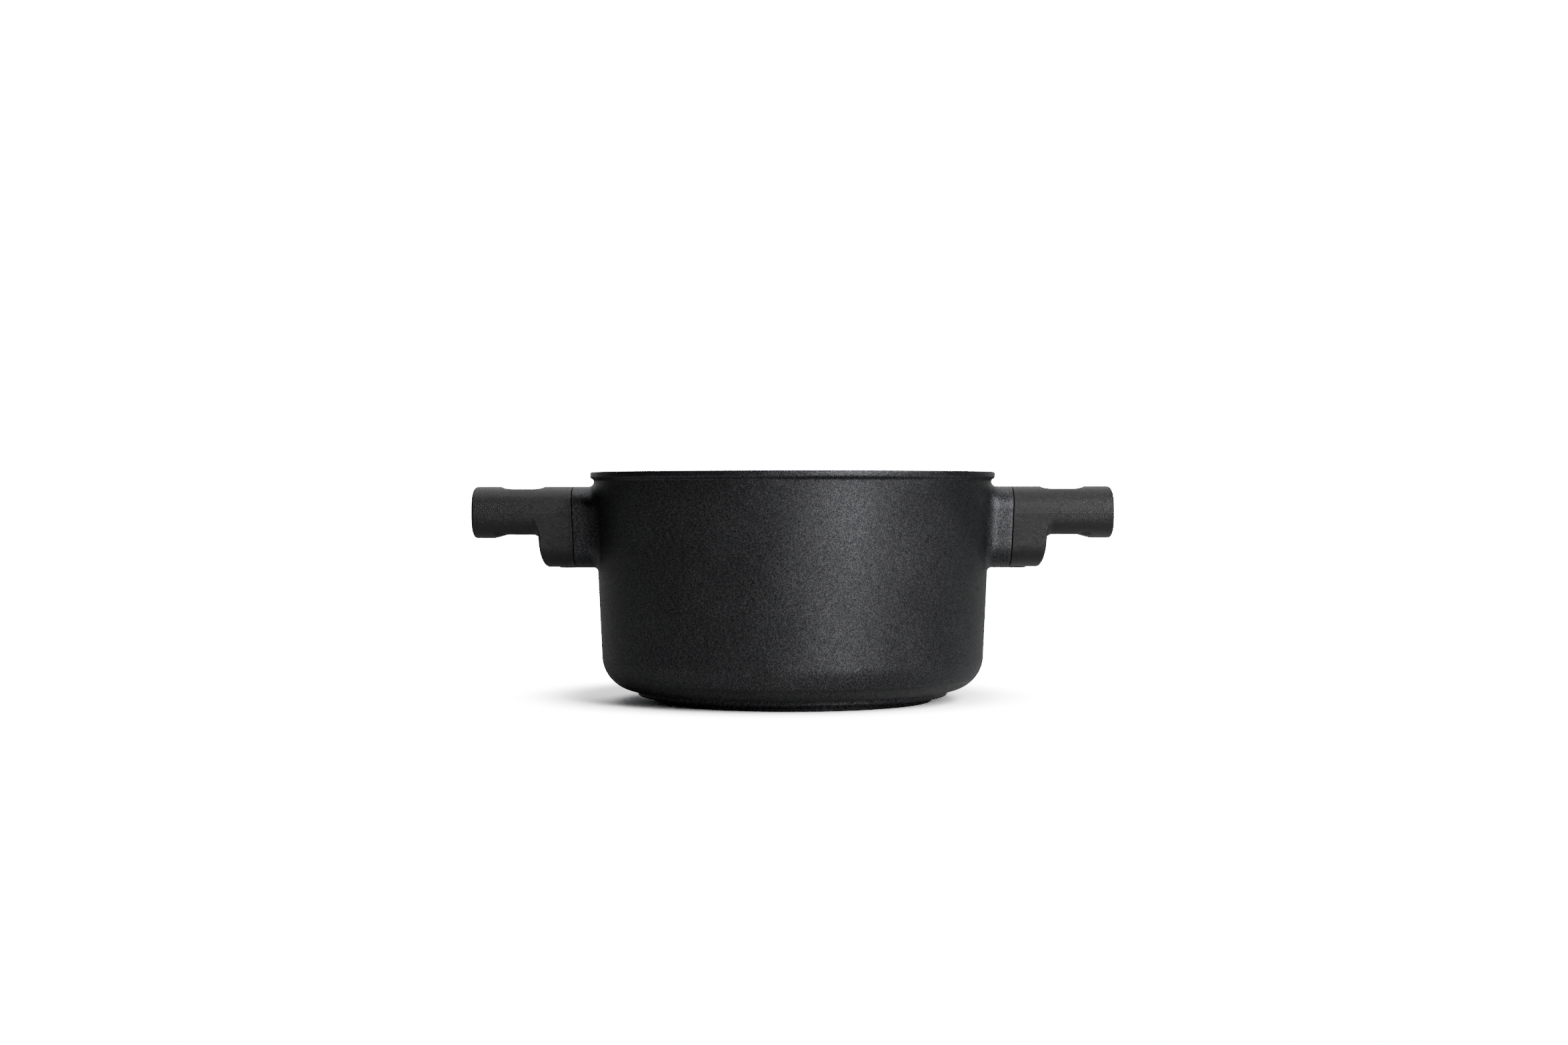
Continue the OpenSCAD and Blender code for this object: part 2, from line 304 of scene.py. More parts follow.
def apply_modifier(piece, kind, **settings):
    """Adds a modifier with its settings and applies it."""
    take(piece)
    modifier = piece.modifiers.new(kind.title(), kind)
    for name, value in settings.items():
        setattr(modifier, name, value)
    bpy.ops.object.modifier_apply(modifier=modifier.name)


def combine(piece, tool, operation):
    """Joins a tool solid to a piece, or cuts it out, and removes the tool."""
    apply_modifier(piece, "BOOLEAN", object=tool, operation=operation, solver="EXACT")
    bpy.data.objects.remove(tool, do_unlink=True)


def mirrored_copy(piece, name):
    """A copy with its own mesh, reflected across the pot."""
    copy = piece.copy()
    copy.data = piece.data.copy()
    copy.name = copy.data.name = name
    bpy.context.collection.objects.link(copy)
    editing(copy, "VERT")
    bpy.ops.mesh.select_all(action="SELECT")
    bpy.ops.transform.resize(value=(-1.0, 1.0, 1.0), center_override=(0.0, 0.0, 0.0))
    bpy.ops.mesh.flip_normals()
    done_editing()
    return copy


def positions(piece):
    """The piece's vertices as an array."""
    found = np.empty(len(piece.data.vertices) * 3)
    piece.data.vertices.foreach_get("co", found)
    return found.reshape(-1, 3)


def place(piece, points):
    """Moves the piece's vertices to an array of points."""
    piece.data.vertices.foreach_set("co", points.ravel())
    piece.data.update()


def tube(name, rings):
    """A closed tube through rings of points, rolled from a flat grid and filled at both ends."""
    count, around = rings.shape[:2]
    deselect()
    bpy.ops.mesh.primitive_grid_add(x_subdivisions=count - 1, y_subdivisions=around, size=2.0)
    piece = added(name)
    flat = positions(piece)
    row = np.rint((flat[:, 0] + 1.0) / 2.0 * (count - 1)).astype(int)
    column = np.rint((flat[:, 1] + 1.0) / 2.0 * around).astype(int) % around
    place(piece, rings[row, column])
    editing(piece, "VERT")
    bpy.ops.mesh.select_all(action="SELECT")
    bpy.ops.mesh.remove_doubles(threshold=0.001 * MM)
    bpy.ops.mesh.select_all(action="DESELECT")
    bpy.ops.mesh.select_non_manifold()
    bpy.ops.mesh.fill_holes(sides=0)
    bpy.ops.mesh.select_all(action="SELECT")
    bpy.ops.mesh.normals_make_consistent(inside=False)
    done_editing()
    return piece


def box(name, low, high):
    """A block between two corners."""
    low, high = Vector(low), Vector(high)
    deselect()
    bpy.ops.mesh.primitive_cube_add(size=1.0, location=(low + high) / 2, scale=high - low)
    return added(name)


def disc(name, radius, low, high, centre=(0.0, 0.0), vertices=64):
    """An upright cylinder between two heights."""
    deselect()
    bpy.ops.mesh.primitive_cylinder_add(
        vertices=vertices, radius=radius, depth=high - low, location=(*centre, (low + high) / 2)
    )
    return added(name)


# ---- materials ----------------------------------------------------------------


class Sheet:
    """Adds nodes to a tree and links them, left to right."""

    def __init__(self, tree):
        self.tree = tree
        self.tree.nodes.clear()

    def node(self, kind, inputs=None, **settings):
        made = self.tree.nodes.new(kind)
        made.location = (len(self.tree.nodes) * 190, 0)
        for name, value in settings.items():
            setattr(made, name, value)
        for name, value in (inputs or {}).items():
            if isinstance(value, bpy.types.NodeSocket):
                self.tree.links.new(value, made.inputs[name])
            else:
                made.inputs[name].default_value = value
        return made

    def maths(self, operation, first, second=0.0, clamp=False):
        return self.node("ShaderNodeMath", {0: first, 1: second}, operation=operation,
        use_clamp=clamp).outputs[0]

    def remap(self, value, low, high, to_low=0.0, to_high=1.0):
        """Spreads a stretch of values over another and holds them inside it."""
        return self.node(
            "ShaderNodeMapRange", {0: value, 1: low, 2: high, 3: to_low, 4: to_high},
            interpolation_type="SMOOTHSTEP"
        ).outputs[0]

    def mix(self, share, first, second):
        made = self.node("ShaderNodeMix", data_type="RGBA")
        for socket, value in zip((made.inputs[0], made.inputs[6], made.inputs[7]), (share, first, second)):
            if isinstance(value, bpy.types.NodeSocket):
                self.tree.links.new(value, socket)
            else:
                socket.default_value = value if isinstance(value, float) else (*value, 1.0)
        return made.outputs[2]

    def place(self):
        """The point on the piece, in metres."""
        return self.node("ShaderNodeTexCoord").outputs["Object"]

    def noise(self, place, size, detail=2.0, roughness=0.5):
        return self.node(
            "ShaderNodeTexNoise", {
                "Vector": place, "Scale": 1.0 / size, "Detail": detail, "Roughness": roughness
            }
        ).outputs["Fac"]


def group(name, inputs, outputs):
    """A new shader node group with named values in and out."""
    tree = bpy.data.node_groups.new(name, "ShaderNodeTree")
    for label, kind, default in inputs:
        socket = tree.interface.new_socket(label, in_out="INPUT", socket_type=kind)
        socket.default_value = default
    for label, kind in outputs:
        tree.interface.new_socket(label, in_out="OUTPUT", socket_type=kind)
    return Sheet(tree)


def grain_group():
    """Fine even grain: a height for the bump, flecks that catch light, and slow cloudiness."""
    name = "grain"
    if name in bpy.data.node_groups:
        return bpy.data.node_groups[name]
    sheet = group(
        name,
        [("Density", "NodeSocketFloat", 2000.0), ("Contrast", "NodeSocketFloat", 2.0)],
        [("Height", "NodeSocketFloat"), ("Fleck", "NodeSocketFloat"), ("Cloud", "NodeSocketFloat")],
    )
    given = sheet.node("NodeGroupInput")
    place = sheet.place()
    fine = sheet.node(
        "ShaderNodeTexNoise", {"Vector": place, "Scale": given.outputs["Density"], "Detail": 1.0}
    )
    cells = sheet.node("ShaderNodeTexVoronoi", {"Vector": place, "Scale": given.outputs["Density"]})
    spot = sheet.node("ShaderNodeSeparateColor", {"Color": cells.outputs["Color"]}).outputs[0]
    bright = sheet.maths("POWER", spot, given.outputs["Contrast"])
    cloud = sheet.noise(place, 0.03, detail=3.0)
    sheet.node("NodeGroupOutput", {"Height": fine.outputs["Fac"], "Fleck": bright, "Cloud": cloud})
    return sheet.tree


def turning_group():
    """Tool marks in rings round the pot's axis, and the slow bands between passes."""
    name = "turning marks"
    if name in bpy.data.node_groups:
        return bpy.data.node_groups[name]
    sheet = group(
        name,
        [("Rings per metre", "NodeSocketFloat", 3000.0)],
        [("Height", "NodeSocketFloat"), ("Band", "NodeSocketFloat")],
    )
    given = sheet.node("NodeGroupInput")
    place = sheet.place()
    parts = sheet.node("ShaderNodeSeparateXYZ", {"Vector": place})
    flat = sheet.node("ShaderNodeCombineXYZ", {"X": parts.outputs["X"], "Y": parts.outputs["Y"]})
    radius = sheet.node("ShaderNodeVectorMath", {0: flat.outputs[0]}, operation="LENGTH").outputs["Value"]
    turns = sheet.maths("MULTIPLY", radius, given.outputs["Rings per metre"])
    groove = sheet.maths("PINGPONG", turns, 0.5)
    along = sheet.node("ShaderNodeCombineXYZ", {"X": sheet.maths("MULTIPLY", radius, 900.0)})
    band = sheet.node("ShaderNodeTexNoise", {"Vector": along.outputs[0], "Scale": 1.0, "Detail": 3.0})
    sheet.node("NodeGroupOutput", {"Height": groove, "Band": band.outputs["Fac"]})
    return sheet.tree


def new_material(name):
    made = bpy.data.materials.new(name)
    made.use_nodes = True
    return made, Sheet(made.node_tree)


def finish_material(sheet, surface, height=None, depth=0.0, strength=1.0, **values):
    """Ends a material in a Principled shader, with its relief as a bump."""
    inputs = {name.replace("_", " "): value for name, value in values.items()}
    if height is not None:
        inputs["Normal"] = sheet.node(
            "ShaderNodeBump", {"Strength": strength, "Distance": depth, "Height": height}
        ).outputs[0]
    shader = sheet.node("ShaderNodeBsdfPrincipled", {"Base Color": surface, **inputs})
    sheet.node("ShaderNodeOutputMaterial", {"Surface": shader.outputs[0]})


def coating_material(name, colour, fleck, grain, metal, depth, roughness):
    """A dark coating filled with fine metal flakes, each catching the light a little differently."""
    made, sheet = new_material(name)
    texture = sheet.node("ShaderNodeGroup", node_tree=grain_group())
    texture.inputs["Density"].default_value = 1.0 / grain
    texture.inputs["Contrast"].default_value = 2.0
    cloud = sheet.remap(texture.outputs["Cloud"], 0.3, 0.7, 0.85, 1.15)
    flake = sheet.maths("MULTIPLY", texture.outputs["Fleck"], cloud)
    finish_material(
        sheet,
        sheet.mix(flake, tuple(colour), tuple(fleck)),
        texture.outputs["Height"],
        depth,
        Roughness=sheet.remap(texture.outputs["Cloud"], 0.3, 0.7, roughness, roughness + 0.04),
        Metallic=metal,
    )
    return made


def phenolic_material(finish, line_height):
    """Satin black moulding with a faint parting line along its sides."""
    made, sheet = new_material("phenolic")
    texture = sheet.node("ShaderNodeGroup", node_tree=grain_group())
    texture.inputs["Density"].default_value = 1.0 / finish.mould_grain
    texture.inputs["Contrast"].default_value = 1.0
    place = sheet.place()
    height = sheet.node("ShaderNodeSeparateXYZ", {"Vector": place}).outputs["Z"]
    off = sheet.maths("ABSOLUTE", sheet.maths("SUBTRACT", height, line_height))
    pebble_depth = 0.12 * MM
    line = sheet.remap(off, 0.08 * MM, 0.28 * MM, 0.35, 0.0)
    draft = sheet.maths("MULTIPLY", off, -finish.mould_draft / pebble_depth)
    pebble = sheet.maths("MULTIPLY", texture.outputs["Height"], 2.2)
    relief = sheet.maths("ADD", sheet.maths("ADD", pebble, line), draft)
    base = sheet.mix(
        sheet.remap(texture.outputs["Cloud"], 0.3, 0.7, 0.0, 0.3),
        tuple(finish.phenolic),
        tuple(c * 1.4 for c in finish.phenolic),
    )
    finish_material(
        sheet,
        sheet.mix(texture.outputs["Fleck"], base, tuple(c * 1.5 for c in finish.phenolic)),
        relief,
        pebble_depth,
        Roughness=sheet.remap(texture.outputs["Cloud"], 0.3, 0.7, 0.38, 0.44),
        Specular_IOR_Level=0.65,
    )
    return made


def turned_material(name, colour, pitch, roughness):
    """Bare metal turned on a lathe, with rings of tool marks."""
    made, sheet = new_material(name)
    marks = sheet.node("ShaderNodeGroup", node_tree=turning_group())
    marks.inputs["Rings per metre"].default_value = 1.0 / pitch
    band = sheet.remap(marks.outputs["Band"], 0.3, 0.7)
    finish_material(
        sheet,
        sheet.mix(band, tuple(c * 0.88 for c in colour), tuple(colour)),
        marks.outputs["Height"],
        0.02 * MM,
        Metallic=1.0,
        Roughness=sheet.remap(marks.outputs["Band"], 0.3, 0.7, roughness, roughness + 0.1),
    )
    return made


def screw_material(finish):
    """Bright drawn steel with light handling marks."""
    made, sheet = new_material("screw steel")
    place = sheet.place()
    smudge = sheet.noise(place, 2.0 * MM, detail=4.0)
    scratch = sheet.noise(place, 0.15 * MM)
    finish_material(
        sheet,
        sheet.mix(
            sheet.remap(smudge, 0.35, 0.7), tuple(finish.screw_steel), tuple(
                c * 0.8 for c in finish.screw_steel
            )
        ),
        scratch,
        0.01 * MM,
        Metallic=1.0,
        Roughness=sheet.remap(smudge, 0.3, 0.7, 0.24, 0.36),
    )
    return made


def wear(piece, *materials):
    """Puts materials in a piece's slots, the first on every face."""
    piece.data.materials.clear()
    for made in materials:
        piece.data.materials.append(made)


# ---- the pot ------------------------------------------------------------------


def wall_radius(pot, height):
    """Outside radius of the wall at a height or an array of heights."""
    return pot.rim_radius - pot.rim_out - math.tan(pot.draft) * (pot.height - height)


def corner_offset(pot, radius):
    """How far from a corner of the drafted wall and a level face its rounding starts."""
    return radius / math.tan((math.pi / 2 + pot.draft) / 2)


def turned_pot(pot):
    """The round body: a drafted cone worked into base, rim and inside by hand tools."""
    base = pot.foot_height + pot.step_height
    neck = pot.height - pot.rim_band - pot.rim_lean / 2
    lower_rim = neck + pot.rim_lean
    neck_turn = math.atan2(wall_radius(pot, pot.height) + pot.rim_out - wall_radius(pot, neck), pot.rim_lean)
    neck_offset = pot.neck_round * math.tan(neck_turn / 2)
    step_radius = wall_radius(pot, base) - corner_offset(pot, pot.corner) - pot.step_in
    foot_radius = step_radius - pot.foot_in
    bore_top = wall_radius(pot, pot.height) - pot.wall
    bore_floor = wall_radius(pot, pot.floor_height) - pot.wall
    deselect()
    bpy.ops.mesh.primitive_cone_add(
        vertices=pot.segments,
        radius1=wall_radius(pot, base),
        radius2=wall_radius(pot, neck),
        depth=neck - base,
        location=(0.0, 0.0, (base + neck) / 2),
    )
    piece = added("pot_shell")
    editing(piece, "FACE")
    # The stepped foot, with the pocket for the base plate
    pick_faces(lambda centre, normal: normal.z < -0.99)
    bpy.ops.mesh.inset(thickness=corner_offset(pot, pot.corner) + pot.step_in)
    extrude(z=-pot.step_height)
    bpy.ops.mesh.inset(thickness=pot.foot_in)
    extrude(z=-pot.foot_height)
    bpy.ops.mesh.inset(thickness=foot_radius - PLATE_HIGH.y)
    extrude(z=PLATE_HIGH.z)
    # The rim band and the inside
    pick_faces(lambda centre, normal: normal.z > 0.99 and centre.z > base)
    extrude(z=pot.rim_lean)
    spread(pot.rim_radius / wall_radius(pot, neck))
    extrude(z=pot.height - lower_rim)
    bpy.ops.mesh.inset(thickness=pot.rim_radius - bore_top)
    extrude(z=pot.floor_height - pot.height)
    spread(bore_floor / bore_top)
    # Roundings, largest first
    bpy.ops.mesh.select_mode(type="EDGE")
    for height, radius, amount, steps in (
        (base, wall_radius(pot, base), corner_offset(pot, pot.corner), 24),
        (pot.floor_height, bore_floor, corner_offset(pot, pot.floor_corner), 20),
        (pot.height, pot.rim_radius, pot.rim_round, 6),
        (lower_rim, pot.rim_radius, neck_offset, 6),
        (pot.height, bore_top, pot.rim_round, 6),
        (neck, wall_radius(pot, neck), neck_offset, 6),
        (base, step_radius, pot.turned_edge, 2),
        (pot.foot_height, step_radius, pot.step_round, 5),
        (pot.foot_height, foot_radius, pot.turned_edge, 2),
        (0.0, foot_radius, pot.turned_edge, 3),
    ):
        pick_ring(height, radius, near=0.08 * MM)
        bevel(amount, steps)
    done_editing()
    return piece


def add_studs(piece, pot):
    """The studs of the casting that fill the holes of the base plate."""
    rings = int((PLATE_HIGH.y - 2 * pot.hole_radius) / pot.hole_pitch)
    studs = []
    for ring in range(1, rings + 1):
        holes = int(2 * math.pi * ring)
        for index in range(holes):
            turn = 2 * math.pi * index / holes
            centre = (ring * pot.hole_pitch * math.cos(turn), ring * pot.hole_pitch * math.sin(turn))
            studs.append(disc("stud", pot.hole_radius, 0.0, PLATE_HIGH.z + 1.0 * MM, centre, vertices=32))
    take(studs[0])
    for stud in studs:
        stud.select_set(True)
    bpy.ops.object.join()
    combine(piece, studs[0], "UNION")


def section(lug, handle, low, high, count=192):
    """The rounded section of a lug or handle between two heights: its points and outward normals."""
    half_width, half_height = lug.width / 2, (handle.grip_height - handle.side_flat) / 2
    power = handle.squareness
    turn = np.linspace(0.0, 2 * math.pi, count, endpoint=False) + math.pi / count
    side, rise = np.cos(turn), np.sin(turn)
    y = np.sign(side) * np.abs(side) ** (2 / power)
    z = np.sign(rise) * np.abs(rise) ** (2 / power)
    normal = np.stack(
        [np.sign(y) * np.abs(y) ** (power - 1) / half_width,
        np.sign(z) * np.abs(z) ** (power - 1) / half_height], 1
    )
    normal /= np.linalg.norm(normal, axis=1)[:, None]
    middle = np.where(z > 0, high - half_height, low + half_height)
    return np.stack([y * half_width, z * half_height + middle], 1), normal


def seam_place(pot, lug, height):
    """How far out along X the leaning seam is at a height."""
    middle = lug.top - lug.height / 2
    return wall_radius(pot, middle) + lug.out + math.tan(pot.draft) * (height - middle)


def lug_solid(pot, lug, handle):
    """A lug lofted from inside the wall, through its cast fillet, to its eased end face."""
    outline, normal = section(lug, handle, lug.top - lug.height - lug.below, lug.top)
    upward = np.where(normal[:, 1] > 0, lug.top_fillet, lug.foot_fillet)
    fillet = lug.side_fillet * normal[:, 0] ** 2 + upward * normal[:, 1] ** 2

    def ring(swell, place):
        spot = outline + normal * np.broadcast_to(swell, fillet.shape)[:, None]
        wall = np.sqrt(wall_radius(pot, spot[:, 1]) ** 2 - spot[:, 0] ** 2)
        return np.column_stack([place(wall, spot[:, 1]), spot])

    def end(wall, height):
        return seam_place(pot, lug, height)

    rings = [ring(fillet + 0.4 * MM, lambda wall, height: wall - 1.5 * MM)]
    rings.append(ring(fillet + 0.02 * MM, lambda wall, height: wall - 0.03 * MM))
    for step in np.linspace(math.pi / 2, 0.0, 14):
        rings.append(
            ring(
                fillet * (1 - math.cos(step)), lambda wall, height, s=step: wall + fillet * (1 - math.sin(s))
            )
        )
    for share in (0.25, 0.5, 0.75):
        rings.append(
            ring(
                0.0,
                lambda wall, height, s=share: (wall + fillet) * (1 - s) + (end(wall, height) - lug.edge) * s,
            )
        )
    for step in np.linspace(0.0, math.pi / 2, 6):
        rings.append(
            ring(
                -lug.edge * (1 - math.cos(step)),
                lambda wall, height, s=step: end(wall, height) - lug.edge * (1 - math.sin(s)),
            )
        )
    return tube("lug", np.array(rings))


def add_lugs(piece, pot, lug, handle):
    """Both lugs, their tenons and the holes for the threaded inserts."""
    foot = lug.top - lug.height
    insert_low, insert_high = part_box("right_thread_insert")
    insert_radius = insert_high.y
    screw_x = (insert_low.x + insert_high.x) / 2
    for side in (1, -1):
        solid = lug_solid(pot, lug, handle)
        if side < 0:
            mirror = mirrored_copy(solid, "lug")
            bpy.data.objects.remove(solid, do_unlink=True)
            solid = mirror
        combine(piece, solid, "UNION")
        inner, outer = seam_place(pot, lug, foot) - 4 * MM, POT_HIGH.x
        tenon = box(
            "tenon",
            (min(inner * side, outer * side), -lug.tenon_width / 2, foot + lug.tenon_up),
            (max(inner * side, outer * side), lug.tenon_width / 2, foot + lug.tenon_up + lug.tenon_height),
        )
        combine(piece, tenon, "UNION")
        hole = disc("hole", insert_radius, foot, insert_high.z, (screw_x * side, 0.0), vertices=48)
        combine(piece, hole, "DIFFERENCE")


def paint_pot(piece, pot, outside, lining, bare):
    """Lining inside the rim, bare metal on the turned resting face, coating elsewhere."""
    wear(piece, outside, lining, bare)
    for face in piece.data.polygons:
        radius = math.hypot(face.center.x, face.center.y)
        if face.center.z < 0.05 * MM or (face.center.z < PLATE_HIGH.z and radius < PLATE_HIGH.y):
            face.material_index = 2
        elif face.center.z > pot.floor_height - 0.1 * MM and radius < wall_radius(pot,
        face.center.z) - 0.7 * pot.wall:
            face.material_index = 1


# ---- the handles --------------------------------------------------------------


def round_join(first, second, radius):
    """Distance to two solids joined, with a fillet of a radius between them."""
    reach = np.hypot(np.maximum(radius - first, 0), np.maximum(radius - second, 0))
    return np.maximum(radius, np.minimum(first, second)) - reach


def round_common(first, second, radius):
    """Distance to what two solids share, with a rounded edge of a radius."""
    reach = np.hypot(np.maximum(radius + first, 0), np.maximum(radius + second, 0))
    return np.minimum(-radius, np.maximum(first, second)) + reach


def block_distance(offset, half, corner):
    """Distance to a block or rectangle with rounded corners, from offsets to its centre."""
    gap = [np.abs(o) - (h - corner) for o, h in zip(offset, half)]
    outside = np.sqrt(sum(np.maximum(g, 0) ** 2 for g in gap))
    return outside + np.minimum(np.maximum.reduce(gap), 0) - corner


def section_distance(lug, handle, y, z, low, high):
    """Distance to the rounded section between two heights, extended along X."""
    half_width, half_height = lug.width / 2, (handle.grip_height - handle.side_flat) / 2
    power = handle.squareness
    rise = np.maximum(z - (high - half_height), 0) + np.minimum(z - (low + half_height), 0)
    across, up = np.abs(y) / half_width, np.abs(rise) / half_height
    gauge = np.maximum((across**power + up**power) ** (1 / power), 0.2)
    slope = np.hypot(across ** (power - 1) / half_width,
    up ** (power - 1) / half_height) / gauge ** (power - 1)
    return (gauge - 1) / np.maximum(slope, 1e-6)


def handle_distance(pot, lug, handle, points):
    """Distance from points to the surface of the right handle, negative inside it."""
    x, y, z = points.T
    foot = lug.top - lug.height
    grip_foot = lug.top - handle.grip_height
    seam_middle = seam_place(pot, lug, lug.top - lug.height / 2)
    hole_start = seam_middle + handle.hole_start
    hole_end = hole_start + handle.hole_length
    raised = grip_foot + handle.finger_rise

    grip = section_distance(lug, handle, y, z, grip_foot, lug.top)
    root = section_distance(lug, handle, y, z, foot, lug.top)
    # The raised underside at the finger hole, and the ramp down to the end bar
    ramp_start, ramp_end = hole_end - handle.rise_end, HANDLE_HIGH.x - handle.end_flat
    ramp = handle.finger_rise / (ramp_end - ramp_start)
    underside = np.clip(raised - (x - ramp_start) * ramp, grip_foot, raised)
    grip = round_common(grip, (underside - z) / math.hypot(1, ramp), 0.6 * MM)
    # The finger hole, eased more below than above
    middle = (hole_start + hole_end) / 2
    hole = block_distance(
        (x - middle, y), (handle.hole_length / 2, handle.hole_width / 2), handle.hole_corner
    )
    ease = np.where(z > lug.top - handle.grip_height / 2, handle.hole_top_edge, handle.hole_foot_edge)
    rails = round_common(grip, -hole, ease)
    # The root behind its curved chin, filleted to the grip's underside only
    curve = handle.chin_curve
    bulge = curve - np.sqrt(curve**2 - np.clip(raised + handle.chin_top - z, 0, 20 * MM) ** 2)
    chin = (x - hole_start + bulge) * (curve - bulge) / curve
    edge = np.where(z > lug.top - handle.grip_height / 2, handle.hole_top_edge, handle.chin_round)
    block = round_common(root, chin, edge)
    fillet = handle.inner_fillet * np.clip((raised + 14 * MM - z) / (4 * MM), 1e-6, 1)
    solid = round_join(rails, block, fillet)
    solid = np.maximum(np.maximum(solid, root), -hole)
    # A shallow thumb relief low on each side, steep towards the end bar
    relief_x = hole_end + 0.5 * MM
    stretch = np.where(x > relief_x, 3.5 * MM, 5 * MM)
    inside = 1 - np.hypot((x - relief_x) / stretch, (z - raised + 0.6 * MM) / (2.6 * MM))
    share = np.clip(inside / 0.3, 0, 1) * np.clip((np.abs(y) - 15.5 * MM) / (2.5 * MM), 0, 1)
    solid = solid + handle.relief_depth * share * share * (3 - 2 * share)
    # The boss round the screw, then the flat end and the leaning seam face
    screw_x = (SCREW_LOW.x + SCREW_HIGH.x) / 2
    from_screw = np.hypot(x - screw_x, y)
    boss = round_common(from_screw - handle.boss_radius, HANDLE_LOW.z - z, 0.25 * MM)
    boss = np.maximum(boss, z - foot - 5 * MM)
    solid = round_join(solid, boss, 0.5 * MM)
    solid = round_common(solid, x - HANDLE_HIGH.x, handle.edge)
    face = (seam_place(pot, lug, z) + handle.seam_gap - x) * math.cos(pot.draft)
    solid = round_common(solid, face, handle.seam_edge)
    # Socket for the tenon, counterbore and shank hole
    tenon_foot = foot + lug.tenon_up
    socket_end = POT_HIGH.x + handle.socket_gap
    socket = block_distance(
        (x - socket_end + 20 * MM, y, z - tenon_foot - (lug.tenon_height + handle.socket_gap) / 2),
        (20 * MM, lug.tenon_width / 2 + handle.socket_gap, (lug.tenon_height + handle.socket_gap) / 2),
        0.3 * MM,
    )
    solid = round_common(solid, -socket, 0.3 * MM)
    bore = np.maximum(from_screw - handle.counterbore, z - HANDLE_LOW.z - handle.counterbore_depth)
    solid = round_common(solid, -bore, 0.25 * MM)
    shank = np.maximum(from_screw - handle.shank_hole, z - tenon_foot - 1 * MM)
    return np.maximum(solid, -shank)


def rough_handle(pot, lug, handle):
    """A coarse solid near the handle's shape, from joined and cut blocks, remeshed evenly."""
    foot = lug.top - lug.height
    grip_foot = lug.top - handle.grip_height
    middle = seam_place(pot, lug, lug.top - lug.height / 2)
    start = seam_place(pot, lug, foot) + handle.seam_gap
    hole_start, hole_end = middle + handle.hole_start, middle + handle.hole_start + handle.hole_length

    def bar(name, low, high, from_x, to_x):
        outline, _ = section(lug, handle, low, high, 64)
        return tube(
            name, np.array([np.column_stack([np.full(len(outline), x), outline]) for x in (from_x, to_x)])
        )

    piece = bar("right_grip", grip_foot, lug.top, start, HANDLE_HIGH.x)
    combine(piece, bar("root", foot, lug.top, start, hole_start - 1 * MM), "UNION")
    screw_x = (SCREW_LOW.x + SCREW_HIGH.x) / 2
    combine(piece, disc("boss", handle.boss_radius, HANDLE_LOW.z, foot + 3 * MM, (screw_x, 0.0)), "UNION")
    cuts = [
        box(
            "hole",
            (hole_start, -handle.hole_width / 2, foot),
            (hole_end, handle.hole_width / 2, lug.top + 5 * MM),
        ),
        box(
            "socket",
            (start - 5 * MM, -lug.tenon_width / 2, foot + lug.tenon_up),
            (POT_HIGH.x, lug.tenon_width / 2, foot + lug.tenon_up + lug.tenon_height),
        ),
        disc("counterbore", handle.counterbore, foot - 5 * MM, HANDLE_LOW.z + handle.counterbore_depth,
        (screw_x, 0.0)),
        disc("shank", handle.shank_hole, foot, foot + lug.tenon_up + 1 * MM, (screw_x, 0.0)),
    ]
    for cut in cuts:
        combine(piece, cut, "DIFFERENCE")
    apply_modifier(piece, "REMESH", mode="VOXEL", voxel_size=handle.grain)
    return piece


def settle(piece, distance, passes=8):
    """Draws every vertex onto the surface where distance is zero, evening the mesh out on the way,
    and returns the surface's normals there."""
    points = positions(piece)
    edges = np.empty(len(piece.data.edges) * 2, dtype=int)
    piece.data.edges.foreach_get("vertices", edges)
    first, second = edges.reshape(-1, 2).T
    degree = np.bincount(edges, minlength=len(points))[:, None]

    def slope(at):
        step = 0.01 * MM
        return np.stack(
            [(distance(at + offset) - distance(at - offset)) / (2 * step) for offset in np.eye(3) * step], 1
        )

    for index in range(passes):
        if index < passes - 3:
            total = np.zeros_like(points)
            np.add.at(total, first, points[second])
            np.add.at(total, second, points[first])
            points = points * 0.5 + total / degree * 0.5
        for _ in range(2):
            lean = slope(points)
            size = np.maximum((lean**2).sum(1), 0.2)
            move = -distance(points)[:, None] * lean / size[:, None]
            far = np.linalg.norm(move, axis=1)[:, None]
            points = points + move * np.minimum(1.0, 0.8 * MM / np.maximum(far, 1e-9))
    place(piece, points)
    lean = slope(points)
    return lean / np.maximum(np.linalg.norm(lean, axis=1)[:, None], 1e-9)


def smooth_with(piece, normals):
    """Shades a piece smoothly with given normals."""
    take(piece)
    bpy.ops.object.shade_smooth()
    piece.data.normals_split_custom_set_from_vertices(normals.tolist())


# ---- operators ----------------------------------------------------------------


